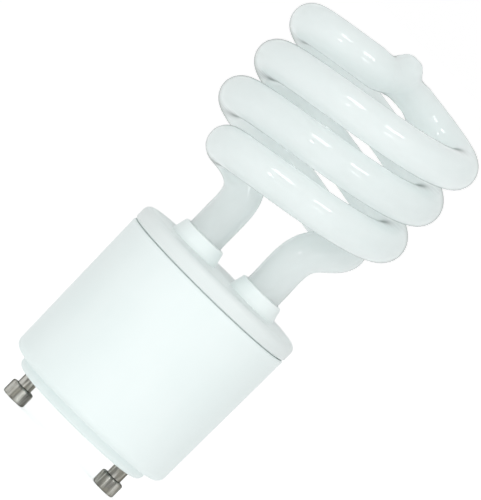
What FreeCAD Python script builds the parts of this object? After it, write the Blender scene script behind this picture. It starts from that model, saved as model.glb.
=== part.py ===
import FreeCAD, Part
import math
import os
import re
import Sketcher

# Spiral fluorescent lamp on a two-pin twist-lock base.
# The lamp axis is +Z. The origin is where that axis meets the flat underside of the base,
# half way between the two contact pins, and the pins lie along X. All sizes are millimetres.

SIZES = {
    # contact pins: a head that locks in the holder, a thin neck, a shank through the base
    "pin_spacing": 24.0,
    "pin_head_diameter": 5.0,
    "pin_head_height": 3.1,
    "pin_neck_diameter": 3.15,
    "pin_neck_height": 2.6,
    "pin_head_round": 0.45,
    "pin_rivet_diameter": 5.4,
    "pin_rivet_height": 0.9,
    "pin_fit": 0.03,
    "boss_diameter": 7.4,
    "boss_height": 4.5,
    # housing: a stepped cup with a little mould draft, sized outwards from the pins
    "step_margin": 3.75,
    "step_inset": 3.1,
    "step_height": 2.2,
    "step_round": 1.3,
    "housing_draft": 0.5,
    "housing_height": 35.0,
    "housing_round": 1.8,
    "wall": 1.6,
    "seam_chamfer": 0.25,
    "seam_gap": 0.2,
    "seam_depth": 0.9,
    "rib_width": 1.4,
    "board_ledge": 1.6,
    # cover: a plate with a spigot that snaps into the housing and two collars for the glass
    "cover_edge_height": 3.6,
    "cover_round": 1.5,
    "cover_plate": 1.8,
    "spigot_depth": 4.5,
    "spigot_wall": 1.3,
    "spigot_fit": 0.12,
    "snap_height": 0.4,
    "snap_width": 1.2,
    "snap_drop": 2.2,
    "snap_clearance": 0.04,
    "hold_down_width": 5.0,
    "hold_down_inset": 0.13,
    "collar_wall": 0.73,
    "collar_flare": 0.75,
    "collar_height": 3.1,
    "collar_round": 0.4,
    "leg_gap": 0.12,
    "socket_depth": 3.6,
    "socket_wall": 1.1,
    "cement_thickness": 1.2,
    "cement_fit": 0.04,
    # glass: one tube, wound as two strands that meet in a crown under a blown dome;
    # its heights are measured from the housing's top edge
    "tube_diameter": 7.8,
    "leg_spacing": 15.05,
    "foot_above_board": 3.1,
    "tube_turn": 8.0,
    "coil_radius": 19.25,
    "coil_pitch": 19.1,
    "coil_offset": -2.0,
    "coil_front_height": 25.0,
    "coil_start_angle": 240.0,
    "coil_end_angle": 720.0,
    "crown_turn": 64.0,
    "crown_rise": 3.6,
    "dome_offset": -0.35,
    "dome_rise": 5.6,
    "dome_tip_radius": 1.5,
    "dome_tip_round": 1.0,
    "dome_cone_height": 2.6,
    "dome_cone_spread": 2.6,
    "dome_bulge": 0.7,
    "dome_side_round": 1.8,
    "dome_foot_radius": 2.6,
    "dome_foot_lift": 0.3,
    "bend_start_left": 11.5,
    "bend_start_right": 8.6,
    # circuit board, its wrapping posts and the wires that reach it
    "board_drop": 7.5,
    "board_thickness": 1.2,
    "board_fit": 0.35,
    "wrap_post_width": 0.8,
    "wrap_post_height": 2.4,
    "wrap_post_reach": 5.2,
    "wrap_post_fit": 0.07,
    "electrode_spread": 2.4,
    "electrode_wire_diameter": 0.5,
    "pin_wire_diameter": 1.2,
    # the board's radius that the ballast's sizes below are given for
    "ballast_board_radius": 17.3,
}

# what is soldered to the board; a smaller or larger board takes smaller or larger parts
BALLAST = {
    "bulk_capacitor_diameter": 10.0,
    "bulk_capacitor_length": 16.0,
    "bulk_capacitor_crimp": 0.5,
    "bulk_capacitor_y": -9.5,
    "core_width": 13.0,
    "core_depth": 6.0,
    "core_height": 12.0,
    "core_limb": 2.9,
    "core_yoke": 1.8,
    "choke_y": 8.6,
    "bobbin_wall": 0.6,
    "winding_build": 3.0,
    "winding_round": 1.0,
    "winding_fit": 0.1,
    "film_capacitor_width": 8.8,
    "film_capacitor_thickness": 4.2,
    "film_capacitor_height": 8.5,
    "film_capacitor_round": 1.05,
    "film_capacitor_x": -8.6,
    "film_capacitor_y": -6.0,
    "ring_core_diameter": 7.6,
    "ring_core_hole": 3.8,
    "ring_core_height": 3.6,
    "ring_wire_diameter": 0.5,
    "ring_x": 10.2,
    "ring_y": -6.4,
    "transistor_width": 7.6,
    "transistor_thickness": 2.8,
    "transistor_height": 10.8,
    "transistor_lead_length": 3.2,
    "transistor_lead_pitch": 2.3,
    "transistor_x": 9.6,
    "transistor_y": 7.4,
    "lead_diameter": 0.6,
    "diode_diameter": 2.6,
    "diode_length": 4.0,
    "diode_drop": 2.4,
    "diode_pitch": 3.2,
    "diode_lead_reach": 0.7,
    "diode_row_y": -1.25,
    "fuse_resistor_diameter": 3.2,
    "fuse_resistor_length": 9.0,
    "fuse_resistor_waist": 2.7,
    "fuse_resistor_cap": 1.8,
    "fuse_resistor_shoulder": 0.45,
    "fuse_resistor_x": -8.5,
    "line_choke_diameter": 3.8,
    "line_choke_length": 8.0,
    "line_choke_flange": 1.0,
    "line_choke_neck": 2.0,
    "line_choke_x": 8.6,
    "small_parts_y": 1.0,
}

doc = FreeCAD.newDocument("SpiralLamp")
sheet = doc.addObject("Spreadsheet::Sheet", "Sizes")
for row, (name, number) in enumerate((*SIZES.items(), *BALLAST.items()), 1):
    sheet.set(f"A{row}", name)
    sheet.set(f"B{row}", str(number))
    sheet.setAlias(f"B{row}", name)
doc.recompute()

SIZE_NAMES = re.compile(r"\b(" + "|".join((*SIZES, *BALLAST)) + r")\b")
BALLAST_NAMES = re.compile(r"\b(" + "|".join(BALLAST) + r")\b")
NODES = []

# housing diameters, each from the one inside it
STEP_DIAMETER = "(pin_spacing + 2 * step_margin)"
HOUSING_BOTTOM = f"({STEP_DIAMETER} + 2 * step_inset)"
HOUSING_TOP = f"({HOUSING_BOTTOM} + 2 * housing_draft)"
DRAFT = "housing_draft / (housing_height - step_height)"


def inner_radius(height):
    """The radius of the housing's drafted inner wall at a height."""
    return f"({HOUSING_BOTTOM} / 2 - wall + ({height} - step_height) * {DRAFT})"


# heights and fits of what stands in the housing
FLOOR_TOP = "wall"
BOSS_TOP = "(wall + boss_height)"
BOARD_HEIGHT = "(housing_height - board_drop)"
BOARD_TOP = f"({BOARD_HEIGHT} + board_thickness)"
BOARD_RADIUS = f"({inner_radius(BOARD_HEIGHT)} - board_fit)"
BALLAST_SCALE = f"{BOARD_RADIUS} / ballast_board_radius"
FOOT_HEIGHT = f"({BOARD_TOP} + foot_above_board)"
PLATE_TOP = "(housing_height + cover_edge_height)"
PLATE_UNDERSIDE = "(housing_height + cover_edge_height - cover_plate)"
COLLAR_TOP = "(tube_diameter + 2 * leg_gap + 2 * collar_wall)"
COLLAR_BASE = f"({COLLAR_TOP} + 2 * collar_flare)"
DOME_RADIUS = "(tube_diameter / 2 + dome_bulge)"


def scaled(formula):
    """A formula in which every size of the ballast suits the board."""
    return BALLAST_NAMES.sub(rf"(\1 * {BALLAST_SCALE})", formula)


def value(formula):
    """The number that a formula of sheet names gives."""
    result = sheet.evalExpression(scaled(formula))
    return float(getattr(result, "Value", result))


def bind(target, path, formula):
    """Tie a property to a formula of sheet names."""
    target.setExpression(path, SIZE_NAMES.sub(r"Sizes.\1", scaled(formula)))


def new_body(label, x="0", y="0", z="0", turn="0", whole=True):
    """A body placed by formulas and turned about Z: a whole sub-part, or a portion of one."""
    body = doc.addObject("PartDesign::Body", label)
    body.Label = label
    bind(body, "Placement.Base.x", x)
    bind(body, "Placement.Base.y", y)
    bind(body, "Placement.Base.z", z)
    bind(body, "Placement.Rotation.Angle", turn)
    if whole:
        NODES.append(body)
    return body


def new_sketch(body, plane, offset="0"):
    """A sketch on one of the body's own origin planes."""
    sketch = body.newObject("Sketcher::SketchObject", body.Label + "_sketch")
    sketch.AttachmentSupport = [(next(f for f in body.Origin.OriginFeatures if f.Role == plane), "")]
    sketch.MapMode = "FlatFace"
    bind(sketch, "AttachmentOffset.Base.z", offset)
    return sketch


def fix_point(sketch, geometry, end, x, y):
    """Hold one point of a sketch at two formulas, measured from the sketch's origin."""
    for kind, formula in (("DistanceX", x), ("DistanceY", y)):
        index = sketch.addConstraint(Sketcher.Constraint(kind, -1, 1, geometry, end, value(formula)))
        bind(sketch, f"Constraints[{index}]", formula)


def add_outline(sketch, corners):
    """A closed outline of straight lines through corners given as pairs of formulas."""
    first = sketch.GeometryCount
    places = [FreeCAD.Vector(value(x), value(y), 0) for x, y in corners]
    for here, there in zip(places, places[1:] + places[:1]):
        sketch.addGeometry(Part.LineSegment(here, there))
    for index, (x, y) in enumerate(corners):
        after = first + (index + 1) % len(corners)
        sketch.addConstraint(Sketcher.Constraint("Coincident", first + index, 2, after, 1))
        fix_point(sketch, first + index, 1, x, y)


def add_box(sketch, x, y, width, depth):
    """A rectangle centred on x, y."""
    left, right = f"{x} - ({width}) / 2", f"{x} + ({width}) / 2"
    near, far = f"{y} - ({depth}) / 2", f"{y} + ({depth}) / 2"
    add_outline(sketch, [(left, near), (right, near), (right, far), (left, far)])


def add_circle(sketch, x, y, diameter):
    """A circle centred on x, y."""
    centre = FreeCAD.Vector(value(x), value(y), 0)
    index = sketch.addGeometry(Part.Circle(centre, FreeCAD.Vector(0, 0, 1), value(diameter) / 2))
    fix_point(sketch, index, 3, x, y)
    size = sketch.addConstraint(Sketcher.Constraint("Diameter", index, value(diameter)))
    bind(sketch, f"Constraints[{size}]", diameter)


def revolve(body, corners):
    """Turn an outline of radius and height about the body's Z axis."""
    sketch = new_sketch(body, "XZ_Plane")
    add_outline(sketch, corners)
    feature = body.newObject("PartDesign::Revolution", body.Label + "_turned")
    feature.Profile = sketch
    feature.ReferenceAxis = (sketch, ["V_Axis"])
    feature.Angle = 360
    return feature


def pad(body, sketch, length, down=False, taper=None):
    """Extrude a sketch, up or down."""
    feature = body.newObject("PartDesign::Pad", body.Label + "_pad")
    feature.Profile = sketch
    bind(feature, "Length", length)
    feature.Reversed = down
    if taper:
        bind(feature, "TaperAngle", taper)
    return feature


def pocket(body, sketch, depth, up=False):
    """Cut a sketch into the body, down or up, and make sure that it cut something."""
    doc.recompute()
    before = body.Shape.Volume
    feature = body.newObject("PartDesign::Pocket", body.Label + "_cut")
    feature.Profile = sketch
    bind(feature, "Length", depth)
    feature.Reversed = up
    doc.recompute()
    assert body.Shape.Volume < before - 1e-6, body.Label
    return feature


def recomputed(body):
    """The body's shape in its own axes, brought up to date."""
    doc.recompute()
    return body.Tip.Shape


def rim(body, height, radius):
    """The names of the body's round edges of one radius at a height."""
    names = []
    for index, edge in enumerate(recomputed(body).Edges, 1):
        ring = edge.Curve
        if not isinstance(ring, Part.Circle):
            continue
        if abs(ring.Center.z - height) < 1e-3 and abs(ring.Radius - radius) < 1e-3:
            names.append(f"Edge{index}")
    return names


def dress(body, kind, edges, size):
    """A Fillet or a Chamfer on named edges of the body."""
    base = body.Tip
    feature = body.newObject("PartDesign::" + kind, body.Label + "_" + kind.lower())
    feature.Base = (base, edges)
    bind(feature, "Radius" if kind == "Fillet" else "Size", size)
    doc.recompute()
    return feature


# where the glass legs stand: on a line through the axis, turned a little from the pins
LEG_X = "leg_spacing / 2 * cos(tube_turn * 1deg)"
LEG_Y = "leg_spacing / 2 * sin(tube_turn * 1deg)"
LEGS = {"left": (f"-{LEG_X}", f"-{LEG_Y}"), "right": (LEG_X, LEG_Y)}
PIN_SIDES = {"left": "-pin_spacing / 2", "right": "pin_spacing / 2"}


def build_housing():
    """Moulded cup: stepped floor, drafted wall, pin bosses, board ribs and a snap groove."""
    body = new_body("housing")
    step, bottom, top = f"{STEP_DIAMETER} / 2", f"{HOUSING_BOTTOM} / 2", f"{HOUSING_TOP} / 2"
    inner_shelf = "step_height + wall"
    snap_low = "(housing_height - snap_drop - snap_width / 2)"
    snap_high = "(housing_height - snap_drop + snap_width / 2)"
    groove = "snap_height - spigot_fit + snap_clearance"
    revolve(body, [
        ("0", "0"),
        (step, "0"),
        (step, "step_height"),
        (bottom, "step_height"),
        (top, "housing_height"),
        (f"{top} - wall", "housing_height"),
        (inner_radius(snap_high), snap_high),
        (inner_radius("housing_height - snap_drop") + f" + {groove}", "housing_height - snap_drop"),
        (inner_radius(snap_low), snap_low),
        (inner_radius(inner_shelf), inner_shelf),
        (f"{step} - wall", inner_shelf),
        (f"{step} - wall", FLOOR_TOP),
        ("0", FLOOR_TOP),
    ])
    bosses = new_sketch(body, "XY_Plane", FLOOR_TOP)
    for side in PIN_SIDES.values():
        add_circle(bosses, side, "0", "boss_diameter")
    pad(body, bosses, "boss_height")
    ribs = new_sketch(body, "XY_Plane", inner_shelf)
    rib_inner = f"({BOARD_RADIUS} - board_ledge)"
    rib_outer = f"({inner_radius(inner_shelf)} + wall / 2)"
    middle = f"({rib_inner} + {rib_outer}) / 2"
    for sign in ("", "-"):
        add_box(ribs, f"{sign}{middle}", "0", f"{rib_outer} - {rib_inner}", "rib_width")
        add_box(ribs, "0", f"{sign}{middle}", "rib_width", f"{rib_outer} - {rib_inner}")
    pad(body, ribs, f"{BOARD_HEIGHT} - ({inner_shelf})")
    holes = new_sketch(body, "XY_Plane")
    for side in PIN_SIDES.values():
        add_circle(holes, side, "0", "pin_neck_diameter + 2 * pin_fit")
    pocket(body, holes, BOSS_TOP, up=True)
    dress(body, "Fillet", rim(body, 0, value(step)), "step_round")
    dress(body, "Fillet", rim(body, value("step_height"), value(bottom)), "housing_round")
    dress(body, "Chamfer", rim(body, value("housing_height"), value(top)), "seam_chamfer")


def build_cover():
    """Moulded lid: plate with a shadow gap, snap spigot with tabs, leg sockets and collars."""
    body = new_body("cover")
    edge = f"{HOUSING_TOP} / 2"
    seam_top = "(housing_height + seam_gap)"
    spigot_outer = f"({inner_radius('housing_height - spigot_depth')} - spigot_fit)"
    spigot_low = "(housing_height - spigot_depth)"
    snap = "(housing_height - snap_drop)"
    revolve(body, [
        ("0", PLATE_TOP),
        (edge, PLATE_TOP),
        (edge, seam_top),
        (f"{edge} - seam_depth", seam_top),
        (f"{edge} - seam_depth", "housing_height"),
        (spigot_outer, "housing_height"),
        (spigot_outer, f"{snap} + snap_width / 2"),
        (f"{spigot_outer} + snap_height", snap),
        (spigot_outer, f"{snap} - snap_width / 2"),
        (spigot_outer, spigot_low),
        (f"{spigot_outer} - spigot_wall", spigot_low),
        (f"{spigot_outer} - spigot_wall", PLATE_UNDERSIDE),
        ("0", PLATE_UNDERSIDE),
    ])
    collars = new_sketch(body, "XY_Plane", PLATE_TOP)
    for x, y in LEGS.values():
        add_circle(collars, x, y, COLLAR_BASE)
    pad(body, collars, "collar_height", taper="-atan(collar_flare / collar_height)")
    sockets = new_sketch(body, "XY_Plane", PLATE_UNDERSIDE)
    bores = new_sketch(body, "XY_Plane", PLATE_UNDERSIDE)
    throats = new_sketch(body, "XY_Plane", f"{PLATE_TOP} + collar_height")
    bore = "tube_diameter + 2 * cement_thickness"
    for x, y in LEGS.values():
        add_circle(sockets, x, y, f"{bore} + 2 * socket_wall")
        add_circle(bores, x, y, bore)
        add_circle(throats, x, y, "tube_diameter + 2 * leg_gap")
    pad(body, sockets, "socket_depth", down=True)
    pocket(body, bores, "socket_depth")
    pocket(body, throats, "collar_height + cover_plate")
    tabs = new_sketch(body, "XY_Plane", spigot_low)
    middle = f"({spigot_outer} - spigot_wall / 2)"
    thickness = "spigot_wall - 2 * hold_down_inset"
    for sign in ("", "-"):
        add_box(tabs, f"{sign}{middle}", "0", thickness, "hold_down_width")
        add_box(tabs, "0", f"{sign}{middle}", "hold_down_width", thickness)
    pad(body, tabs, f"{spigot_low} - {BOARD_TOP}", down=True)
    dress(body, "Fillet", rim(body, value(PLATE_TOP), value(edge)), "cover_round")
    collar_top = value(PLATE_TOP + " + collar_height")
    dress(body, "Fillet", rim(body, collar_top, value(COLLAR_TOP + " / 2")), "collar_round")
    dress(body, "Chamfer", rim(body, value(seam_top), value(edge)), "seam_chamfer")


def build_pins():
    """Turned contact pins: locking head, neck and shank, closed over the boss by a rivet rim."""
    for side, place in PIN_SIDES.items():
        body = new_body(f"contact_pin_{side}", x=place)
        head_top = "-pin_neck_height"
        head_low = "-(pin_neck_height + pin_head_height)"
        revolve(body, [
            ("0", head_low),
            ("pin_head_diameter / 2", head_low),
            ("pin_head_diameter / 2", head_top),
            ("pin_neck_diameter / 2", head_top),
            ("pin_neck_diameter / 2", BOSS_TOP),
            ("pin_rivet_diameter / 2", BOSS_TOP),
            ("pin_rivet_diameter / 2", f"{BOSS_TOP} + pin_rivet_height"),
            ("0", f"{BOSS_TOP} + pin_rivet_height"),
        ])
        head = value("pin_head_diameter / 2")
        edges = rim(body, value(head_low), head) + rim(body, value(head_top), head)
        dress(body, "Fillet", edges, "pin_head_round")
        rivet = rim(body, value(BOSS_TOP + " + pin_rivet_height"), value("pin_rivet_diameter / 2"))
        dress(body, "Chamfer", rivet, "pin_rivet_height / 2")


# angles run round the coil in its own axes, and its front is at this one
FRONT_ANGLE = 270
# the strand leaves its leg at this angle
LEG_ANGLE = 180
# the points that the centre line passes through
COIL_STEP = 20
CROWN_STEPS = 6
# how the crown rises to the axis: 3 would level it out there, and less leaves it a little peaked
CROWN_EASE = 2.3
# the tube is swept in spans of this many points, each a face of its own
POINTS_PER_SPAN = 6

# the bend between a leg and its strand, as shares of the way from the leg's top to the start of
# the coil: outwards, round the axis and up
LEFT_BEND = [(0.079, 0.029, 0.563), (0.355, 0.129, 0.781), (0.671, 0.324, 0.848)]
RIGHT_BEND = [(0.112, -0.054, 0.642), (0.456, 0.089, 0.858), (0.697, 0.354, 0.986)]

FOOT = f"({FOOT_HEIGHT} - housing_height)"
COIL_TOP = f"(coil_front_height + coil_pitch * (coil_end_angle - {FRONT_ANGLE}) / 360)"
CROWN_HEIGHT = f"({COIL_TOP} + crown_rise)"


def around(radius, angle, height):
    """A point of the coil's own axes, from its distance to the axis, its angle and its height."""
    turn = math.radians(angle)
    return FreeCAD.Vector(radius * math.cos(turn), radius * math.sin(turn), height)


def helix_point(angle):
    """A point on the coil's winding line, in the coil's own axes."""
    height = value("coil_front_height") + value("coil_pitch") * (angle - FRONT_ANGLE) / 360
    return around(value("coil_radius"), angle, height)


def crown_points():
    """From the end of the coil the strand curls in to the axis and rises to meet the dome."""
    start, turn = value("coil_end_angle"), value("crown_turn")
    low, rise = value(COIL_TOP), value("crown_rise")
    slope = value("coil_pitch") * turn / 360
    points = []
    for step in range(1, CROWN_STEPS + 1):
        share = step / CROWN_STEPS
        reach = value("coil_radius") * math.cos(math.pi / 2 * share)
        ease = share ** 2 * (CROWN_EASE - (CROWN_EASE - 1) * share)
        height = low + rise * ease + slope * share * (1 - share) ** 2
        points.append(around(reach, start + turn * share, height))
    return points


def strand_points(leg_distance, bend_start, bend):
    """One strand from the top of its leg to the crown; the other is turned half way round."""
    start, end = value("coil_start_angle"), value("coil_end_angle")
    outwards = value("coil_radius") - leg_distance
    upwards = helix_point(start).z - bend_start
    points = [around(leg_distance, LEG_ANGLE, bend_start)]
    for out, turn, up in bend:
        angle = LEG_ANGLE + (start - LEG_ANGLE) * turn
        points.append(around(leg_distance + outwards * out, angle, bend_start + upwards * up))
    steps = round((end - start) / COIL_STEP)
    points += [helix_point(start + (end - start) * step / steps) for step in range(steps + 1)]
    return points + crown_points()


def tube_line():
    """The glass tube's centre line: leg, strand, crown, strand and leg, in the coil's own axes."""
    offset, reach = value("coil_offset"), value("leg_spacing") / 2
    left = strand_points(reach + offset, value("bend_start_left"), LEFT_BEND)
    right = strand_points(reach - offset, value("bend_start_right"), RIGHT_BEND)
    points = left + [FreeCAD.Vector(-point.x, -point.y, point.z) for point in right[-2::-1]]
    travel = [0.0]
    for here, there in zip(points, points[1:]):
        travel.append(travel[-1] + (there - here).Length)
    up = FreeCAD.Vector(0, 0, 1)
    curve = Part.BSplineCurve()
    curve.interpolate(Points=points, Parameters=travel, InitialTangent=up, FinalTangent=-up, Scale=False)
    feet = [FreeCAD.Vector(end.x, end.y, value(FOOT)) for end in (points[0], points[-1])]
    stops = travel[:-1:POINTS_PER_SPAN] + [travel[-1]]
    spans = [Part.Edge(curve, start, end) for start, end in zip(stops, stops[1:])]
    first_leg = Part.LineSegment(feet[0], points[0]).toShape()
    last_leg = Part.LineSegment(points[-1], feet[1]).toShape()
    return Part.Wire([first_leg] + spans + [last_leg])


def build_dome():
    """The dome blown over the crown: a rounded cone on a waist, in the coil's own axes."""
    dome = new_body("tube_dome", x="dome_offset", whole=False)
    top = f"({CROWN_HEIGHT} + dome_rise)"
    shoulder = f"({top} - dome_cone_height)"
    shoulder_radius = "(dome_tip_radius + dome_cone_spread)"
    foot = f"({CROWN_HEIGHT} - tube_diameter / 2 + dome_foot_lift)"
    revolve(dome, [
        ("0", foot),
        ("dome_foot_radius", foot),
        (DOME_RADIUS, CROWN_HEIGHT),
        (shoulder_radius, shoulder),
        ("dome_tip_radius", top),
        ("0", top),
    ])
    dress(dome, "Fillet", rim(dome, value(top), value("dome_tip_radius")), "dome_tip_round")
    sides = rim(dome, value(shoulder), value(shoulder_radius))
    sides += rim(dome, value(CROWN_HEIGHT), value(DOME_RADIUS))
    dress(dome, "Fillet", sides, "dome_side_round")
    return dome


def build_glass():
    """The discharge tube: a double spiral on two legs, one glass tube with a blown dome."""
    path = doc.addObject("Part::Feature", "tube_path")
    path.Shape = tube_line()
    section = doc.addObject("Part::Circle", "tube_section")
    bind(section, "Radius", "tube_diameter / 2")
    bind(section, "Placement.Base.x", "-leg_spacing / 2 - coil_offset")
    bind(section, "Placement.Base.z", FOOT)
    sweep = doc.addObject("Part::Sweep", "tube_sweep")
    sweep.Sections = [section]
    sweep.Spine = (path, [f"Edge{index}" for index in range(1, len(path.Shape.Edges) + 1)])
    sweep.Solid = True
    sweep.Frenet = False
    glass = doc.addObject("Part::Fuse", "glass_tube")
    glass.Label = "glass_tube"
    glass.Base = sweep
    glass.Tool = build_dome()
    bind(glass, "Placement.Base.x", "coil_offset * cos(tube_turn * 1deg)")
    bind(glass, "Placement.Base.y", "coil_offset * sin(tube_turn * 1deg)")
    bind(glass, "Placement.Base.z", "housing_height")
    bind(glass, "Placement.Rotation.Angle", "tube_turn")
    NODES.append(glass)


def place_on_board(x, y):
    """Where a component's own origin goes: on the underside of the circuit board."""
    return {"x": x, "y": y, "z": BOARD_HEIGHT}


def add_wire(body, corners, diameter):
    """A round wire in the body's XZ plane; its first run is vertical and its bends are rounded."""
    path = new_sketch(body, "XZ_Plane")
    places = [FreeCAD.Vector(value(x), value(z), 0) for x, z in corners]
    for index, (here, there) in enumerate(zip(places, places[1:])):
        path.addGeometry(Part.LineSegment(here, there))
        fix_point(path, index, 1, *corners[index])
        if index:
            path.addConstraint(Sketcher.Constraint("Coincident", index - 1, 2, index, 1))
    fix_point(path, len(corners) - 2, 2, *corners[-1])
    section = new_sketch(body, "XY_Plane", corners[0][1])
    add_circle(section, corners[0][0], "0", diameter)
    doc.recompute()
    pipe = body.newObject("PartDesign::AdditivePipe", body.Label + "_wire")
    pipe.Profile = section
    pipe.Spine = (path, [f"Edge{index}" for index in range(1, len(corners))])
    pipe.Transition = "Round corner"
    return pipe


def build_cement():
    """A ring of cement holds each glass leg in its socket."""
    for side, (x, y) in LEGS.items():
        body = new_body(f"tube_cement_{side}", x=x, y=y, z=f"{PLATE_UNDERSIDE} - socket_depth")
        ring = new_sketch(body, "XY_Plane")
        add_circle(ring, "0", "0", "tube_diameter + 2 * (cement_thickness - cement_fit)")
        add_circle(ring, "0", "0", "tube_diameter + 2 * cement_fit")
        pad(body, ring, "socket_depth")


def turned(along, across):
    """The X and Y formulas of a place given along and across the line of the glass legs."""
    x = f"{along} * cos(tube_turn * 1deg) - ({across}) * sin(tube_turn * 1deg)"
    y = f"{along} * sin(tube_turn * 1deg) + ({across}) * cos(tube_turn * 1deg)"
    return x, y


POSTS = {
    "left_near": turned("-leg_spacing / 2", "-wrap_post_reach"),
    "left_far": turned("-leg_spacing / 2", "wrap_post_reach"),
    "right_near": turned("leg_spacing / 2", "-wrap_post_reach"),
    "right_far": turned("leg_spacing / 2", "wrap_post_reach"),
}


def build_board():
    """The round circuit board, with a pressed-in post for each electrode wire."""
    body = new_body("circuit_board", z=BOARD_HEIGHT)
    disc = new_sketch(body, "XY_Plane")
    add_circle(disc, "0", "0", f"2 * {BOARD_RADIUS}")
    pad(body, disc, "board_thickness")
    holes = new_sketch(body, "XY_Plane", "board_thickness")
    for x, y in POSTS.values():
        add_circle(holes, x, y, "wrap_post_width * sqrt(2) + wrap_post_fit")
    pocket(body, holes, "board_thickness")
    for place, (x, y) in POSTS.items():
        post = new_body(f"wrap_post_{place}", x=x, y=y, z=BOARD_HEIGHT, turn="tube_turn")
        shank = new_sketch(post, "XY_Plane")
        add_box(shank, "0", "0", "wrap_post_width", "wrap_post_width")
        pad(post, shank, "board_thickness + wrap_post_height")


def build_electrode_wires():
    """Four wires run from the tube's feet to the posts that they are wrapped on."""
    for side, (x, y) in LEGS.items():
        for place, turn in (("near", "tube_turn - 90"), ("far", "tube_turn + 90")):
            body = new_body(f"electrode_wire_{side}_{place}", x=x, y=y, z=FOOT_HEIGHT, turn=turn)
            drop = "-(foot_above_board - wrap_post_height / 2)"
            corners = [
                ("electrode_spread / 2", "0"),
                ("electrode_spread / 2", drop),
                ("wrap_post_reach - wrap_post_width / 2", drop),
            ]
            add_wire(body, corners, "electrode_wire_diameter")


def build_pin_wires():
    """An insulated wire runs from each contact pin up to the board."""
    for side, place in PIN_SIDES.items():
        bottom = f"{BOSS_TOP} + pin_rivet_height"
        body = new_body(f"pin_wire_{side}", x=place, z=bottom)
        section = new_sketch(body, "XY_Plane")
        add_circle(section, "0", "0", "pin_wire_diameter")
        pad(body, section, f"{BOARD_HEIGHT} - ({bottom})")


def build_bulk_capacitor():
    """The round can capacitor, with the crimp that holds its seal."""
    body = new_body("bulk_capacitor", **place_on_board("0", "bulk_capacitor_y"))
    radius = "bulk_capacitor_diameter / 2"
    revolve(body, [
        ("0", "0"),
        (radius, "0"),
        (radius, "-bulk_capacitor_crimp"),
        (f"{radius} - bulk_capacitor_crimp", "-2 * bulk_capacitor_crimp"),
        (radius, "-3 * bulk_capacitor_crimp"),
        (radius, "-bulk_capacitor_length"),
        ("0", "-bulk_capacitor_length"),
    ])
    low = rim(body, value("-bulk_capacitor_length"), value(radius))
    dress(body, "Fillet", low, "bulk_capacitor_crimp")


def build_choke():
    """The lamp choke: two E cores closed on a bobbin and its winding."""
    centre = ("0", "choke_y")
    middle = f"{BOARD_HEIGHT} - core_height / 2"
    half, limb = "core_height / 2", "core_limb / 2"
    inner = f"core_width / 2 - {limb}"
    outline = [
        ("-core_width / 2", f"-{half}"),
        ("core_width / 2", f"-{half}"),
        ("core_width / 2", "0"),
        (inner, "0"),
        (inner, f"-{half} + core_yoke"),
        (limb, f"-{half} + core_yoke"),
        (limb, "0"),
        (f"-{limb}", "0"),
        (f"-{limb}", f"-{half} + core_yoke"),
        (f"-({inner})", f"-{half} + core_yoke"),
        (f"-({inner})", "0"),
        ("-core_width / 2", "0"),
    ]
    for name, sign in (("choke_core_lower", 1), ("choke_core_upper", -1)):
        body = new_body(name, x=centre[0], y=centre[1], z=middle)
        sketch = new_sketch(body, "XZ_Plane")
        corners = [(x, z if sign > 0 else f"-({z})") for x, z in outline]
        add_outline(sketch, corners)
        pad(body, sketch, "core_depth").Midplane = True
    window = "(core_height / 2 - core_yoke - winding_fit)"
    barrel_x, barrel_y = "core_limb + 2 * bobbin_wall", "core_depth + 2 * bobbin_wall"
    flange_x = "core_width - core_limb - 2 * winding_fit"
    flange_y = "core_depth + 2 * bobbin_wall + 2 * winding_build"
    bobbin = new_body("choke_bobbin", x=centre[0], y=centre[1], z=middle)
    barrel = new_sketch(bobbin, "XY_Plane", f"-{window}")
    add_box(barrel, "0", "0", barrel_x, barrel_y)
    pad(bobbin, barrel, f"2 * {window}")
    for level in (f"-{window}", f"{window} - bobbin_wall"):
        flange = new_sketch(bobbin, "XY_Plane", level)
        add_box(flange, "0", "0", flange_x, flange_y)
        pad(bobbin, flange, "bobbin_wall")
    hole = new_sketch(bobbin, "XY_Plane", window)
    add_box(hole, "0", "0", "core_limb + winding_fit", "core_depth + winding_fit")
    pocket(bobbin, hole, f"2 * {window}")
    winding = new_body("choke_winding", x=centre[0], y=centre[1], z=middle)
    coil = new_sketch(winding, "XY_Plane", f"-({window} - bobbin_wall)")
    add_box(coil, "0", "0", f"{flange_x} - 2 * winding_fit", f"{flange_y} - 2 * winding_fit")
    add_box(coil, "0", "0", barrel_x, barrel_y)
    pad(winding, coil, f"2 * ({window} - bobbin_wall)")
    corner = [
        f"Edge{index}" for index, edge in enumerate(recomputed(winding).Edges, 1)
        if abs(edge.Vertexes[0].X - edge.Vertexes[-1].X) < 1e-6
        and abs(edge.Vertexes[0].Y - edge.Vertexes[-1].Y) < 1e-6
        and abs(abs(edge.Vertexes[0].Y) - value(f"({flange_y}) / 2 - winding_fit")) < 1e-3
    ]
    dress(winding, "Fillet", corner, "winding_round")


def build_film_capacitor():
    """A dipped film capacitor: a block with rounded edges, flat where it meets the board."""
    body = new_body("film_capacitor", **place_on_board("film_capacitor_x", "film_capacitor_y"))
    block = new_sketch(body, "XY_Plane")
    add_box(block, "0", "0", "film_capacitor_thickness", "film_capacitor_width")
    pad(body, block, "film_capacitor_height", down=True)
    edges = [
        f"Edge{index}" for index, edge in enumerate(recomputed(body).Edges, 1)
        if min(corner.Z for corner in edge.Vertexes) < -1e-3
    ]
    dress(body, "Fillet", edges, "film_capacitor_round")


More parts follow.
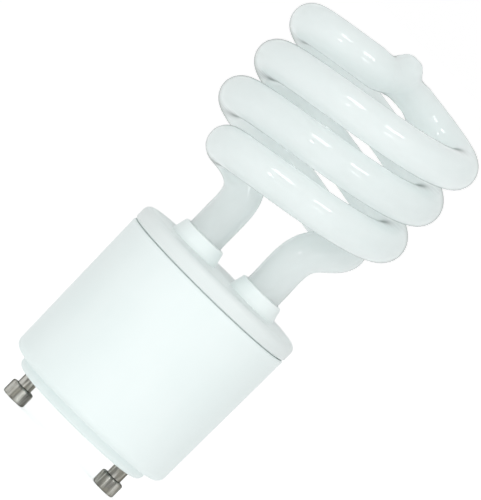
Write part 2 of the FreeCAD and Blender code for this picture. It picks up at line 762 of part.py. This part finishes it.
def build_ring_transformer():
    """The drive transformer: a small ferrite ring and the turns round it."""
    centre = ("ring_x", "ring_y")
    top = "-(ring_wire_diameter + winding_fit)"
    core = new_body("ring_core", **place_on_board(*centre))
    revolve(core, [
        ("ring_core_hole / 2", top),
        ("ring_core_diameter / 2", top),
        ("ring_core_diameter / 2", f"{top} - ring_core_height"),
        ("ring_core_hole / 2", f"{top} - ring_core_height"),
    ])
    winding = new_body("ring_winding", **place_on_board(*centre))
    turn = new_sketch(winding, "XZ_Plane")
    for spread in ("winding_fit", "(winding_fit + ring_wire_diameter)"):
        add_outline(turn, [
            (f"ring_core_hole / 2 - {spread}", f"{top} + {spread}"),
            (f"ring_core_diameter / 2 + {spread}", f"{top} + {spread}"),
            (f"ring_core_diameter / 2 + {spread}", f"{top} - ring_core_height - {spread}"),
            (f"ring_core_hole / 2 - {spread}", f"{top} - ring_core_height - {spread}"),
        ])
    first = pad(winding, turn, "ring_wire_diameter")
    first.Midplane = True
    doc.recompute()
    pattern = winding.newObject("PartDesign::PolarPattern", "ring_winding_turns")
    pattern.Originals = [first]
    pattern.Axis = (turn, ["V_Axis"])
    pattern.Angle = 360
    pattern.Occurrences = math.ceil(2 * math.pi * value("ring_core_hole / 2 - winding_fit")
                                    / value("ring_wire_diameter"))
    winding.Tip = pattern


def build_transistors():
    """Two power transistors hang from the board on three leads each."""
    for side, x in (("left", "-transistor_x"), ("right", "transistor_x")):
        body = new_body(f"transistor_{side}", **place_on_board(x, "transistor_y"))
        block = new_sketch(body, "XY_Plane", "-transistor_lead_length")
        add_box(block, "0", "0", "transistor_thickness", "transistor_width")
        pad(body, block, "transistor_height", down=True)
        leads = new_sketch(body, "XY_Plane")
        for across in ("-transistor_lead_pitch", "0", "transistor_lead_pitch"):
            add_box(leads, "0", across, "lead_diameter", "lead_diameter")
        pad(body, leads, "transistor_lead_length + lead_diameter", down=True)


def build_diodes():
    """Four rectifier diodes in a row, each on a lead bent up into the board."""
    for count in range(4):
        x = f"diode_pitch * {count - 1.5}"
        body = new_body(f"diode_{count + 1}", **place_on_board(x, "diode_row_y"), turn="90")
        case = new_sketch(body, "YZ_Plane")
        add_circle(case, "0", "-diode_drop", "diode_diameter")
        pad(body, case, "diode_length").Midplane = True
        reach = "(diode_length / 2 + diode_lead_reach)"
        corners = [
            (f"-{reach}", "0"),
            (f"-{reach}", "-diode_drop"),
            (reach, "-diode_drop"),
            (reach, "0"),
        ]
        add_wire(body, corners, "lead_diameter")


def build_small_parts():
    """A fusible resistor on end, and a line choke: a drum core with its winding."""
    resistor = new_body("fuse_resistor", **place_on_board("fuse_resistor_x", "small_parts_y"))
    cap, waist = "fuse_resistor_diameter / 2", "fuse_resistor_waist / 2"
    length, end = "fuse_resistor_length", "fuse_resistor_cap"
    revolve(resistor, [
        ("0", "0"),
        (cap, "0"),
        (cap, f"-{end}"),
        (waist, f"-({end} + fuse_resistor_shoulder)"),
        (waist, f"-({length} - {end} - fuse_resistor_shoulder)"),
        (cap, f"-({length} - {end})"),
        (cap, f"-{length}"),
        ("0", f"-{length}"),
    ])
    core = new_body("line_choke_core", **place_on_board("line_choke_x", "small_parts_y"))
    drum, neck = "line_choke_diameter / 2", "line_choke_neck / 2"
    length, flange = "line_choke_length", "line_choke_flange"
    revolve(core, [
        ("0", "0"),
        (drum, "0"),
        (drum, f"-{flange}"),
        (neck, f"-{flange}"),
        (neck, f"-({length} - {flange})"),
        (drum, f"-({length} - {flange})"),
        (drum, f"-{length}"),
        ("0", f"-{length}"),
    ])
    winding = new_body("line_choke_winding", **place_on_board("line_choke_x", "small_parts_y"))
    revolve(winding, [
        (f"{neck} + winding_fit / 2", f"-({flange} + winding_fit)"),
        (f"{drum} - winding_fit", f"-({flange} + winding_fit)"),
        (f"{drum} - winding_fit", f"-({length} - {flange} - winding_fit)"),
        (f"{neck} + winding_fit / 2", f"-({length} - {flange} - winding_fit)"),
    ])


build_housing()
build_cover()
build_pins()
build_glass()
build_cement()
build_board()
build_electrode_wires()
build_pin_wires()
build_bulk_capacitor()
build_choke()
build_film_capacitor()
build_ring_transformer()
build_transistors()
build_diodes()
build_small_parts()

doc.recompute()
for item in doc.Objects:
    assert not {"Invalid", "Error"} & set(item.State), item.Label
for node in NODES:
    assert not node.Shape.isNull() and node.Shape.isValid(), node.Label

os.makedirs("parts", exist_ok=True)
for node in NODES:
    node.Shape.exportStep(f"parts/{node.Label}.step")
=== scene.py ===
import math

import bmesh
import bpy
from mathutils import Matrix, Vector, kdtree


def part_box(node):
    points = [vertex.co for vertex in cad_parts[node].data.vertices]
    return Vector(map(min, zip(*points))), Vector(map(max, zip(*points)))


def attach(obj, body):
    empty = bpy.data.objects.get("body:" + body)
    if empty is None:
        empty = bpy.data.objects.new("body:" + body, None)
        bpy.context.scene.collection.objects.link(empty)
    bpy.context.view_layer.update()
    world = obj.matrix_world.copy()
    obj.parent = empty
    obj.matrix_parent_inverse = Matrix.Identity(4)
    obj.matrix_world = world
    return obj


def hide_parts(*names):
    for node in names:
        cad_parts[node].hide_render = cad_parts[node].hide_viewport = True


# A spiral fluorescent lamp on a two-pin twist-lock base, dressed for a white studio shot.
# The CAD parts give the shapes; the sections below follow the lamp as it is put together.

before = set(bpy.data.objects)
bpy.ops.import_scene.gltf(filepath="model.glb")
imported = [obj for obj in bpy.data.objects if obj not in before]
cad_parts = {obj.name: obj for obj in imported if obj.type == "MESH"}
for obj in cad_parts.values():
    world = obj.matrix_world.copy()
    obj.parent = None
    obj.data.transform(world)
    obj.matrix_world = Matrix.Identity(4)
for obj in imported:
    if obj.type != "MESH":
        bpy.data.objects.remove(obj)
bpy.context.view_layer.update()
MM = 0.001


# Housing.
# A deep cup of white PBT that holds the ballast, with a step and a round edge at its foot.
# It is injection moulded in a spark-eroded tool, which leaves a fine satin skin.

class Shade:
    """A socket of a finish. Arithmetic on it adds Math nodes, so a pattern reads as a formula."""

    def __init__(self, tree, socket=None):
        self.tree = tree
        self.socket = socket

    def node(self, kind, settings=None, inputs=None, output=0):
        """Any other node: its type, its settings, then the values or links of its sockets."""
        made = self.tree.nodes.new(kind)
        for name, setting in (settings or {}).items():
            setattr(made, name, setting)
        for name, given in (inputs or {}).items():
            if isinstance(given, Shade):
                self.tree.links.new(given.socket, made.inputs[name])
            else:
                made.inputs[name].default_value = given
        return Shade(self.tree, made.outputs[output])

    def math(self, operation, first, second, clamp=False):
        settings = {"operation": operation, "use_clamp": clamp}
        return self.node("ShaderNodeMath", settings, {0: first, 1: second})

    def __add__(self, other):
        return self.math("ADD", self, other)

    def __sub__(self, other):
        return self.math("SUBTRACT", self, other)

    def __rsub__(self, other):
        return self.math("SUBTRACT", other, self)

    def __mul__(self, other):
        return self.math("MULTIPLY", self, other)

    __radd__ = __add__
    __rmul__ = __mul__

    def clamped(self):
        return self.math("ADD", self, 0.0, clamp=True)

    def steps(self, low, high):
        """0 below low and 1 above high, with a smooth change between them."""
        settings = {"interpolation_type": "SMOOTHSTEP"}
        inputs = {"Value": self, "From Min": low, "From Max": high}
        return self.node("ShaderNodeMapRange", settings, inputs)


def seen(red, green, blue):
    """A colour as the eye sees it, 0 to 255, as the linear values that a shader takes."""
    shares = [part / 255 for part in (red, green, blue)]
    linear = [s / 12.92 if s <= 0.04045 else ((s + 0.055) / 1.055) ** 2.4 for s in shares]
    return (*linear, 1.0)


class Finish:
    """A material with one Principled shader. Its constants are set here, its patterns are linked."""

    def __init__(self, name, **constants):
        self.material = bpy.data.materials.new(name)
        self.material.use_nodes = True
        self.tree = self.material.node_tree
        self.shader = self.tree.nodes["Principled BSDF"]
        for socket, given in constants.items():
            self.shader.inputs[socket.replace("_", " ")].default_value = given
        self.shade = Shade(self.tree)
        self.place = self.node("ShaderNodeTexCoord", output="Object")

    def node(self, kind, settings=None, inputs=None, output=0):
        return self.shade.node(kind, settings, inputs, output)

    def link(self, socket, shade):
        self.tree.links.new(shade.socket, self.shader.inputs[socket])

    def noise(self, size, detail=2.0, roughness=0.5, place=None):
        """Smooth noise from 0 to 1 whose lumps are about size across, in metres."""
        inputs = {"Vector": place or self.place, "Scale": 1 / size}
        inputs.update({"Detail": detail, "Roughness": roughness})
        return self.node("ShaderNodeTexNoise", None, inputs)

    def stretched(self, x=1.0, y=1.0, z=1.0):
        """Object coordinates scaled along each axis, so that a pattern runs one way."""
        return self.node("ShaderNodeMapping", None, {"Vector": self.place, "Scale": (x, y, z)})

    def axis(self, name):
        return self.node("ShaderNodeSeparateXYZ", None, {"Vector": self.place}, name)

    def blend(self, mask, low, high):
        """low where the mask is 0 and high where it is 1."""
        settings = {"data_type": "RGBA"}
        return self.node("ShaderNodeMix", settings, {0: mask, 6: low, 7: high}, 2)

    def bump(self, height, depth):
        """Relief whose full height is depth metres."""
        return self.node("ShaderNodeBump", None, {"Height": height, "Strength": 1.0, "Distance": depth})


def wear(node, finish):
    """Gives a CAD node its finish."""
    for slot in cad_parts[node].material_slots:
        slot.material = finish.material


def moulded(name, light, shade, grain, skin):
    """White moulded plastic: a faint change of tone through the wall and an eroded satin skin."""
    finish = Finish(name, IOR=1.5, Specular_IOR_Level=0.4)
    cloud = finish.noise(14 * MM, detail=3.0)
    flow = finish.noise(5 * MM, detail=2.0, place=finish.stretched(z=0.25))
    tone = (cloud * 0.6 + flow * 0.4).steps(0.3, 0.7)
    finish.link("Base Color", finish.blend(tone, seen(*shade), seen(*light)))
    erosion = finish.noise(grain, detail=4.0, roughness=0.6)
    finish.link("Roughness", 0.36 + 0.08 * erosion + 0.04 * cloud)
    finish.link("Normal", finish.bump(erosion, skin))
    return finish


wear("housing", moulded("housing_moulding", light=(238, 247, 246), shade=(235, 245, 244),
                        grain=0.35 * MM, skin=0.006 * MM))


# Contact pins.
# Two turned brass pins, nickel plated, with a locking head that turns in the holder's slot.
# Each is pushed up through a boss in the housing's floor and riveted over inside.

nickel = Finish("nickel_plate", Metallic=1.0, Specular_Tint=(0.25, 0.25, 0.24, 1.0),
                Anisotropic=0.85, Anisotropic_Rotation=0.25)
turning = nickel.noise(0.06 * MM, detail=3.0, place=nickel.stretched(x=0.02, y=0.02))
stain = nickel.noise(2.2 * MM, detail=2.0).steps(0.4, 0.7)
# the plating is painted in lighter and darker streaks along the pin: painted reflection stripes, as a
# round pin mirrors them
painted_reflection_streaks = nickel.noise(0.8 * MM, detail=2.0, place=nickel.stretched(z=0.08)).steps(0.42, 0.62)
plate_with_painted_streaks = nickel.blend(painted_reflection_streaks, seen(112, 111, 106), seen(184, 183, 177))
nickel.link("Base Color", nickel.blend(stain * 0.5, plate_with_painted_streaks, seen(134, 131, 118)))
nickel.link("Roughness", 0.16 + 0.08 * turning + 0.05 * stain)
nickel.link("Normal", nickel.bump(turning, 0.003 * MM))
for side in ("left", "right"):
    wear("contact_pin_" + side, nickel)


# Circuit board, wrap posts and wires.
# A round board of laminated paper lies on the housing's ribs; square tinned posts are pressed
# into it, and bare wires from the tube and sleeved wires from the pins run to it.

laminate = Finish("laminated_paper", Roughness=0.55, Specular_IOR_Level=0.35)
fibres = laminate.noise(0.5 * MM, detail=5.0, place=laminate.stretched(x=0.2))
pulp = laminate.blend(fibres.steps(0.35, 0.7), seen(206, 178, 118), seen(188, 156, 96))
laminate.link("Base Color", pulp)
laminate.link("Normal", laminate.bump(fibres, 0.01 * MM))
wear("circuit_board", laminate)

tinned = Finish("tinned_wire", Metallic=1.0)
drawn = tinned.noise(0.12 * MM, detail=3.0, place=tinned.stretched(z=0.1))
tin = tinned.blend(drawn.steps(0.3, 0.7), seen(200, 200, 196), seen(178, 178, 172))
tinned.link("Base Color", tin)
tinned.link("Roughness", 0.28 + 0.18 * drawn)
tinned.link("Normal", tinned.bump(drawn, 0.003 * MM))

sleeve = Finish("wire_sleeve", Roughness=0.5)
ribs = sleeve.noise(0.4 * MM, detail=2.0, place=sleeve.stretched(x=0.3, y=0.3))
sheath = sleeve.blend(ribs.steps(0.3, 0.7), seen(226, 224, 214), seen(212, 209, 198))
sleeve.link("Base Color", sheath)
sleeve.link("Normal", sleeve.bump(ribs, 0.008 * MM))

for side in ("left", "right"):
    wear("pin_wire_" + side, sleeve)
    for place in ("near", "far"):
        wear(f"wrap_post_{side}_{place}", tinned)
        wear(f"electrode_wire_{side}_{place}", tinned)


# Ballast components.
# They hang from the board with their leads soldered through it: a can capacitor, the choke, a
# drive ring, two transistors, four diodes, a film capacitor, a fusible resistor and a line choke.

can = Finish("capacitor_sleeve", Roughness=0.3, Coat_Weight=0.3)
shrink = can.noise(2.5 * MM, detail=3.0, place=can.stretched(z=0.3))
can.link("Base Color", can.blend(shrink.steps(0.35, 0.65), seen(34, 38, 48), seen(26, 29, 38)))
can.link("Normal", can.bump(shrink, 0.03 * MM))
wear("bulk_capacitor", can)

ferrite = Finish("sintered_ferrite")
pores = ferrite.noise(0.25 * MM, detail=6.0, roughness=0.7)
sinter = ferrite.blend(pores.steps(0.35, 0.7), seen(52, 52, 55), seen(38, 38, 41))
ferrite.link("Base Color", sinter)
ferrite.link("Roughness", 0.5 + 0.3 * pores)
ferrite.link("Normal", ferrite.bump(pores, 0.02 * MM))
for node in ("choke_core_lower", "choke_core_upper", "ring_core", "line_choke_core"):
    wear(node, ferrite)

bobbin = Finish("bobbin_moulding", Roughness=0.45)
swirl = bobbin.noise(1.2 * MM, detail=4.0)
bobbin.link("Base Color", bobbin.blend(swirl, seen(36, 36, 38), seen(28, 28, 30)))
bobbin.link("Normal", bobbin.bump(swirl, 0.01 * MM))
wear("choke_bobbin", bobbin)


# at scale 1 the wave texture's sine bands lie 0.31 apart; this makes one band for each wire
BAND_PITCH = 0.31


def wound(name, wire):
    """Layers of enamelled copper wire: fine parallel turns with a little unevenness."""
    finish = Finish(name, Metallic=0.8, Coat_Weight=0.4)
    waves = {"wave_type": "BANDS", "bands_direction": "Z", "wave_profile": "SIN"}
    inputs = {"Vector": finish.place, "Scale": BAND_PITCH / wire}
    inputs.update({"Distortion": 0.6, "Detail Scale": 3.0})
    turns = finish.node("ShaderNodeTexWave", waves, inputs)
    shine = finish.noise(1.5 * MM, detail=2.0)
    # the copper is painted darker in the grooves between turns and lighter on their crests: painted
    # shade and painted highlight
    enamel = finish.blend(turns * 0.7 + shine * 0.3, seen(128, 62, 28), seen(205, 122, 68))
    finish.link("Base Color", enamel)
    finish.link("Roughness", 0.25 + 0.15 * shine)
    finish.link("Normal", finish.bump(turns, 0.05 * MM))
    return finish


wear("choke_winding", wound("choke_wire", 0.25 * MM))
wear("line_choke_winding", wound("line_choke_wire", 0.2 * MM))
wear("ring_winding", wound("ring_wire", 0.3 * MM))

dipped = Finish("dipped_capacitor", Coat_Weight=0.5, Roughness=0.35)
runs = dipped.noise(3 * MM, detail=3.0, place=dipped.stretched(z=0.5))
dipped.link("Base Color", dipped.blend(runs.steps(0.3, 0.7), seen(176, 74, 36), seen(150, 56, 26)))
dipped.link("Normal", dipped.bump(runs, 0.08 * MM))
wear("film_capacitor", dipped)

epoxy = Finish("moulded_epoxy")
filler = epoxy.noise(0.2 * MM, detail=4.0, roughness=0.65)
epoxy.link("Base Color", epoxy.blend(filler.steps(0.35, 0.7), seen(30, 30, 31), seen(22, 22, 23)))
epoxy.link("Roughness", 0.5 + 0.2 * filler)
epoxy.link("Normal", epoxy.bump(filler, 0.008 * MM))
for node in ("transistor_left", "transistor_right", "diode_1", "diode_2", "diode_3", "diode_4"):
    wear(node, epoxy)

lacquer = Finish("resistor_lacquer", Roughness=0.35)
lumps = lacquer.noise(1.0 * MM, detail=3.0)
paint = lacquer.blend(lumps.steps(0.3, 0.7), seen(112, 138, 132), seen(92, 120, 116))
lacquer.link("Base Color", paint)
lacquer.link("Normal", lacquer.bump(lumps, 0.03 * MM))
wear("fuse_resistor", lacquer)


# Cover.
# The housing's lid, from the same white plastic: its spigot snaps into the housing and leaves a
# thin seam, and two conical collars stand on it round the glass.

COLLAR_FOOT = 38.4 * MM
COLLAR_RISE = 1.2 * MM

lid = moulded("cover_moulding", light=(231, 238, 237), shade=(228, 236, 235),
              grain=0.3 * MM, skin=0.006 * MM)
# the collars are painted lighter than the lid's side: painted light, for the light that comes through
# their thin walls
lid_tone = Shade(lid.tree, lid.shader.inputs["Base Color"].links[0].from_socket)
collars_painted_lighter = lid.axis("Z").steps(COLLAR_FOOT, COLLAR_FOOT + COLLAR_RISE)
lid.link("Base Color", lid.blend(collars_painted_lighter, lid_tone, seen(241, 248, 247)))
wear("cover", lid)


# Tube cement.
# A ring of grey-white mineral cement sets between each glass leg and the wall of its socket.

cement = Finish("set_cement", Roughness=0.85)
grit = cement.noise(0.3 * MM, detail=6.0, roughness=0.7)
mineral = cement.blend(grit.steps(0.35, 0.7), seen(222, 217, 204), seen(200, 194, 180))
cement.link("Base Color", mineral)
cement.link("Normal", cement.bump(grit, 0.06 * MM))
for side in ("left", "right"):
    wear("tube_cement_" + side, cement)


# Glass tube.
# One soft-glass tube, bent hot round a mandrel into two strands that meet in a crown, with a
# dome blown over the crossing. White phosphor coats the inside, and the outside is glossy.

LIGHT_THROUGH = 0.45

milk = Finish("milky_glass", Roughness=0.42, IOR=1.5, Specular_IOR_Level=0.1,
              Coat_Roughness=0.03, Coat_IOR=1.75,
              Subsurface_Weight=0.3, Subsurface_Scale=4 * MM, Subsurface_Radius=(1.0, 1.0, 1.0))
coating = milk.noise(9 * MM, detail=3.0)
drain = milk.noise(2.5 * MM, detail=3.0, roughness=0.6)
density = (coating * 0.65 + drain * 0.35).steps(0.32, 0.66)
powder = milk.blend(density, seen(237, 244, 243), seen(241, 248, 247))
# painted shade: at its outline the colour turns to a thin grey line, standing for the clear wall in
# front of the coating seen edge on
wall = milk.node("ShaderNodeLayerWeight", None, {"Blend": 0.5}, "Facing").steps(0.76, 0.98)
milk.link("Base Color", milk.blend(wall, powder, seen(128, 138, 136)))
milk.link("Coat Weight", 1.0 - 0.95 * wall)
drawing = milk.noise(6 * MM, detail=1.0)
milk.link("Normal", milk.bump(drawing, 0.05 * MM))
# the coated wall also lets a part of the light through, so the tube is lit from its inside
through = milk.node("ShaderNodeBsdfTranslucent", None, {"Color": seen(253, 255, 255)})
surface = Shade(milk.tree, milk.shader.outputs["BSDF"])
share = LIGHT_THROUGH - LIGHT_THROUGH * wall
mixed = milk.node("ShaderNodeMixShader", None, {0: share, 1: surface, 2: through})
milk.tree.links.new(mixed.socket, milk.tree.nodes["Material Output"].inputs["Surface"])

# the dressed tube is an even mesh over the solid: the glass was soft when the dome was blown, so
# it runs into the tube in a hollow curve, and the crown is drawn a little thinner underneath
TUBE_RADIUS = 3.9 * MM
DOME_RISE = 5.6 * MM
WELD = 0.001 * MM
PLATEAU = 0.02 * MM
DOME_SURROUND = 2.5 * TUBE_RADIUS
DOME_DEPTH = 1.5 * TUBE_RADIUS
MESH_SPACING = 0.45 * MM
EVEN_ROUNDS = 3
SEAM_ANGLE = math.radians(14)
BLEND_REACH = 4.4 * MM
BLEND_ROUNDS = 130
BLEND_SHELLS = 4
TIP_HEIGHT = 2.2 * MM
THINNING = 1.0 * MM
THINNING_OFFSET = 3.5 * MM
THINNING_REACH = 4.4 * MM
THINNING_DEPTH = 1.6 * TUBE_RADIUS
THINNING_FULL = 2 * TUBE_RADIUS
THINNING_END = 3.2 * TUBE_RADIUS


def falloff(distance, near, far):
    """1 up to near and 0 from far on, with a smooth change between them."""
    share = min(max((distance - near) / (far - near), 0.0), 1.0)
    return 1 - share * share * (3 - 2 * share)


def level_distance(place, axis):
    return math.hypot(place.x - axis.x, place.y - axis.y)


glass = bmesh.new()
glass.from_mesh(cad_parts["glass_tube"].data)
bmesh.ops.remove_doubles(glass, verts=glass.verts, dist=WELD)
peak = max(corner.co.z for corner in glass.verts)
plateau = [corner.co for corner in glass.verts if peak - corner.co.z < PLATEAU]
dome_axis = sum(plateau, Vector()) / len(plateau)
crown = peak - DOME_RISE


def near_dome(place):
    return level_distance(place, dome_axis) < DOME_SURROUND and place.z > crown - DOME_DEPTH


seam = [edge.verts[0].co.copy() for edge in glass.edges
        if near_dome(edge.verts[0].co) and edge.calc_face_angle(0.0) > SEAM_ANGLE]
seam_tree = kdtree.KDTree(len(seam))
for index, place in enumerate(seam):
    seam_tree.insert(place, index)
seam_tree.balance()

solid_mesh = bpy.data.meshes.new("glass_tube_blown")
glass.to_mesh(solid_mesh)
blown = bpy.data.objects.new("glass_tube_blown", solid_mesh)
bpy.context.scene.collection.objects.link(blown)
even = blown.modifiers.new("even_mesh", "REMESH")
even.mode = "VOXEL"
even.voxel_size = MESH_SPACING
evaluated = blown.evaluated_get(bpy.context.evaluated_depsgraph_get())
glass_mesh = bpy.data.meshes.new_from_object(evaluated)
blown.modifiers.clear()
blown.data = glass_mesh
bpy.data.meshes.remove(solid_mesh)

glass.clear()
glass.from_mesh(glass_mesh)


def soften(corners, rounds):
    every_way = {"use_axis_x": True, "use_axis_y": True, "use_axis_z": True}
    for _ in range(rounds):
        bmesh.ops.smooth_vert(glass, verts=corners, factor=0.5, **every_way)


# the closer a point is to the seam, the more rounds it takes part in; the dome's tip keeps its form
soften(list(glass.verts), EVEN_ROUNDS)
for shell in range(BLEND_SHELLS):
    size = 1 - shell / BLEND_SHELLS
    around_seam = [corner for corner in glass.verts if near_dome(corner.co)
                   and corner.co.z < peak - TIP_HEIGHT * size
                   and seam_tree.find(corner.co)[2] < BLEND_REACH * size]
    soften(around_seam, BLEND_ROUNDS // BLEND_SHELLS)
for corner in glass.verts:
    if corner.co.z > crown - THINNING_DEPTH:
        depth = min(max((crown + TUBE_RADIUS - corner.co.z) / (2 * TUBE_RADIUS), 0.0), 1.0)
        beside = falloff(abs(corner.co.x - dome_axis.x - THINNING_OFFSET), 0, THINNING_REACH)
        central = falloff(level_distance(corner.co, dome_axis), THINNING_FULL, THINNING_END)
        corner.co.z += THINNING * depth * beside * central
for face in glass.faces:
    face.smooth = True
glass.to_mesh(glass_mesh)
glass.free()
glass_mesh.materials.clear()
glass_mesh.materials.append(milk.material)
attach(blown, "root")
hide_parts("glass_tube")


# Studio.
# A pale paper floor under a pale surround. The camera, mirrored rays and rays through glass meet
# them brighter than the light that they give the lamp, so that the background is white.

AZIMUTH = math.radians(8.0)
ELEVATION = math.radians(3.4)
PIN_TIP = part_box("contact_pin_left")[0].z
HORIZON = 0.67
ZENITH = 0.45
FRONT = 0.22
BACKGROUND = 1.0
FLOOR_GLOW = 0.23
FLOOR_SEEN = 0.5
FLOOR_RADIUS = 4.0

ground = bmesh.new()
bmesh.ops.create_circle(ground, cap_ends=True, segments=96, radius=FLOOR_RADIUS)
bmesh.ops.translate(ground, verts=ground.verts, vec=(0, 0, PIN_TIP))
floor_mesh = bpy.data.meshes.new("floor")
ground.to_mesh(floor_mesh)
ground.free()
floor = bpy.data.objects.new("floor", floor_mesh)
bpy.context.scene.collection.objects.link(floor)


def grey(level):
    return (level, level, level, 1)


def shows_background(shade):
    """1 for the rays that meet the white background: the camera's, mirrored and through glass."""
    rays = [shade.node("ShaderNodeLightPath", output=f"Is {kind} Ray")
            for kind in ("Camera", "Glossy", "Transmission")]
    return (rays[0] + rays[1] + rays[2]).clamped()


paper = Finish("floor_paper", Roughness=0.9, Specular_IOR_Level=0.0)
fleck = paper.noise(0.3, detail=2.0)
paper.link("Base Color", paper.blend(fleck, seen(246, 246, 246), seen(243, 243, 243)))
glow = paper.blend(shows_background(paper.shade), grey(FLOOR_GLOW), grey(FLOOR_SEEN))
paper.link("Emission Color", glow)
paper.shader.inputs["Emission Strength"].default_value = 1.0
floor.data.materials.append(paper.material)

world = bpy.data.worlds.new("studio")
world.use_nodes = True
bpy.context.scene.world = world
sky = Shade(world.node_tree)
direction = sky.node("ShaderNodeTexCoord", output="Generated")
height = sky.node("ShaderNodeSeparateXYZ", None, {"Vector": direction}, "Z").clamped()
toward_camera = Vector((
    math.sin(AZIMUTH) * math.cos(ELEVATION),
    -math.cos(AZIMUTH) * math.cos(ELEVATION),
    math.sin(ELEVATION),
))
dot_product = {"operation": "DOT_PRODUCT"}
facing = sky.node("ShaderNodeVectorMath", dot_product, {0: direction, 1: toward_camera}, "Value")
surround_level = HORIZON + height * (ZENITH - HORIZON) + facing.clamped() * facing.clamped() * FRONT
level = surround_level + shows_background(sky) * (BACKGROUND - surround_level)
surround = world.node_tree.nodes["Background"]
surround.inputs["Color"].default_value = grey(1)
world.node_tree.links.new(level.socket, surround.inputs["Strength"])


# Camera and lamps.
# The camera looks a little down on the lamp, from far off with a long lens, and is rolled so
# that the lamp leans to the right. The soft boxes are placed round its line of sight.

ROLL = math.radians(44.5)
DISTANCE = 1.5
SENSOR = 36.0
FRAME_WIDTH, FRAME_HEIGHT = 481, 500
PIXELS_PER_METRE = 5333
BASE_IN_PICTURE = (78.45, 422.2)

level_right = Vector((math.cos(AZIMUTH), math.sin(AZIMUTH), 0))
forward = -toward_camera
level_up = level_right.cross(forward)
right = level_right * math.cos(ROLL) + level_up * math.sin(ROLL)
up = level_up * math.cos(ROLL) - level_right * math.sin(ROLL)
across = (FRAME_WIDTH / 2 - BASE_IN_PICTURE[0]) / PIXELS_PER_METRE
above = (BASE_IN_PICTURE[1] - FRAME_HEIGHT / 2) / PIXELS_PER_METRE
target = right * across + up * above

camera_data = bpy.data.cameras.new("camera")
camera_data.sensor_width = SENSOR
camera_data.lens = SENSOR * DISTANCE * PIXELS_PER_METRE / FRAME_HEIGHT
camera_data.clip_start = 0.01
camera_data.clip_end = 20.0
camera = bpy.data.objects.new("camera", camera_data)
camera.matrix_world = Matrix((
    (right.x, up.x, -forward.x, 0),
    (right.y, up.y, -forward.y, 0),
    (right.z, up.z, -forward.z, 0),
    (0, 0, 0, 1),
))
camera.location = target - forward * DISTANCE
bpy.context.scene.collection.objects.link(camera)
bpy.context.scene.camera = camera


LAMP_DISTANCE = 1.2


def soft_box(name, azimuth, elevation, width, height, power):
    """An area light that faces the lamp, placed by its angles from the camera's line of sight."""
    turn = AZIMUTH + math.radians(azimuth)
    lift = ELEVATION + math.radians(elevation)
    reach = math.cos(lift)
    back = Vector((math.sin(turn) * reach, -math.cos(turn) * reach, math.sin(lift)))
    data = bpy.data.lights.new(name, "AREA")
    data.shape = "RECTANGLE"
    data.size = width
    data.size_y = height
    data.energy = power
    light = bpy.data.objects.new(name, data)
    light.location = target + back * LAMP_DISTANCE
    light.rotation_mode = "QUATERNION"
    light.rotation_quaternion = back.to_track_quat("Z", "Y")
    light.visible_camera = False
    bpy.context.scene.collection.objects.link(light)


soft_box("soft_box_left", azimuth=-20, elevation=32, width=0.36, height=0.22, power=1.8)
soft_box("soft_box_right", azimuth=29, elevation=32, width=0.36, height=0.22, power=1.7)
soft_box("low_box_left", azimuth=-20, elevation=2, width=0.16, height=0.16, power=0.7)
soft_box("low_box_right", azimuth=29, elevation=1, width=0.3, height=0.1, power=0.5)

bpy.context.scene.view_settings.view_transform = "Standard"
